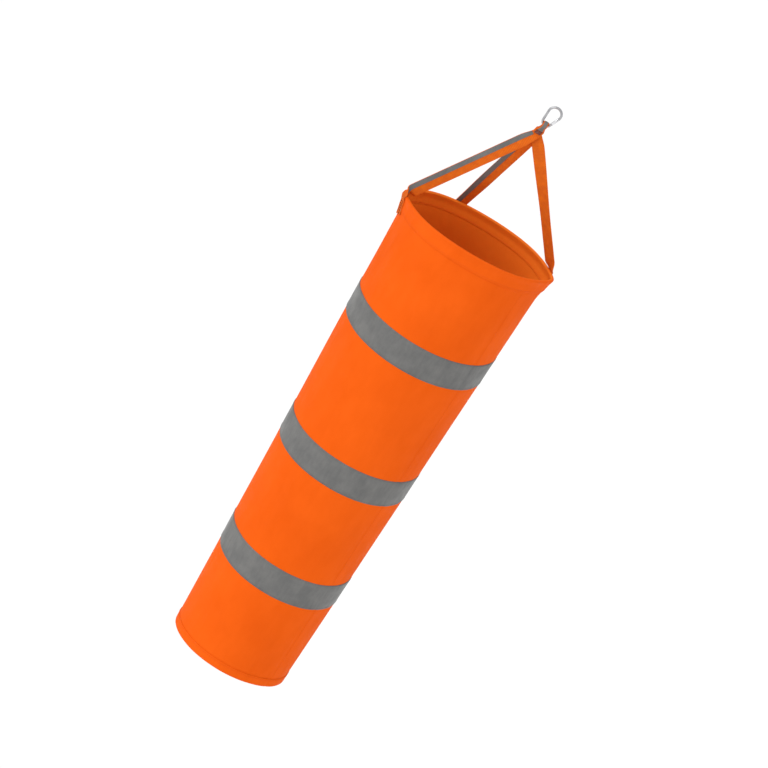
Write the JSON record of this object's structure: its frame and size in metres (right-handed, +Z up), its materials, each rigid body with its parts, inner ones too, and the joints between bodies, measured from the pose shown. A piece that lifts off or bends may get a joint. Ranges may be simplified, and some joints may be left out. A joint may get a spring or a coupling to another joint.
{
  "type": "windsock",
  "caption": "Tapered fabric windsock with reflective bands, hung by webbing straps from a snap hook on a loop.",
  "frame": {"origin": "the point inside the hook's upper bow that rests on the pole's ring", "axes": "+Z up along the hanging sleeve towards the hook, -Y the sleeve's front, +X its right side, where the hook's gate is"},
  "size_m": [0.2714, 0.2462, 1.0447],
  "materials": {
    "orange_cloth": "matt coated cloth",
    "orange_webbing": "woven webbing",
    "reflective_tape": "satin glass-bead tape",
    "thread": "polyester thread",
    "zinc_plate": "bright zinc plate",
    "spring_steel": "bright drawn wire"
  },
  "bodies": {
    "hook": {"hook_body": "zinc_plate", "gate_rivet": "spring_steel"},
    "gate": {"gate": "zinc_plate", "nose_pin": "spring_steel", "gate_plunger": "spring_steel", "gate_spring": "spring_steel"},
    "sock": {"webbing_loop": "orange_webbing", "crown_stitching_front": "thread", "crown_stitching_back": "thread", "strap_left": "orange_webbing", "strap_right": "orange_webbing", "strap_back": "orange_webbing", "strap_stripe_left": "reflective_tape", "strap_stripe_right": "reflective_tape", "strap_stripe_back": "reflective_tape", "foot_stitching_left": "thread", "foot_stitching_right": "thread", "foot_stitching_back": "thread", "mouth_hem": "orange_cloth", "mouth_hoop": "spring_steel", "hoop_ferrule": "zinc_plate", "sock_body": "orange_cloth", "side_seam": "orange_cloth", "tail_hem": "orange_cloth", "reflective_band_upper": "reflective_tape", "reflective_band_middle": "reflective_tape", "reflective_band_lower": "reflective_tape"}
  },
  "joints": [
    {"name": "gate_hinge", "type": "hinge", "parent": "hook", "child": "gate", "pos_m": [0.00386, 0, -0.02564], "axis": [0, -1, 0], "range_deg": [0, 28], "stiffness_Nm_per_rad": 0.02, "springref_deg": -20.05},
    {"name": "sock_swing", "type": "hinge", "parent": "hook", "child": "sock", "pos_m": [-0.00382, 0, -0.03231], "axis": [1, 0, 0], "range_deg": [-90, 90]}
  ]
}
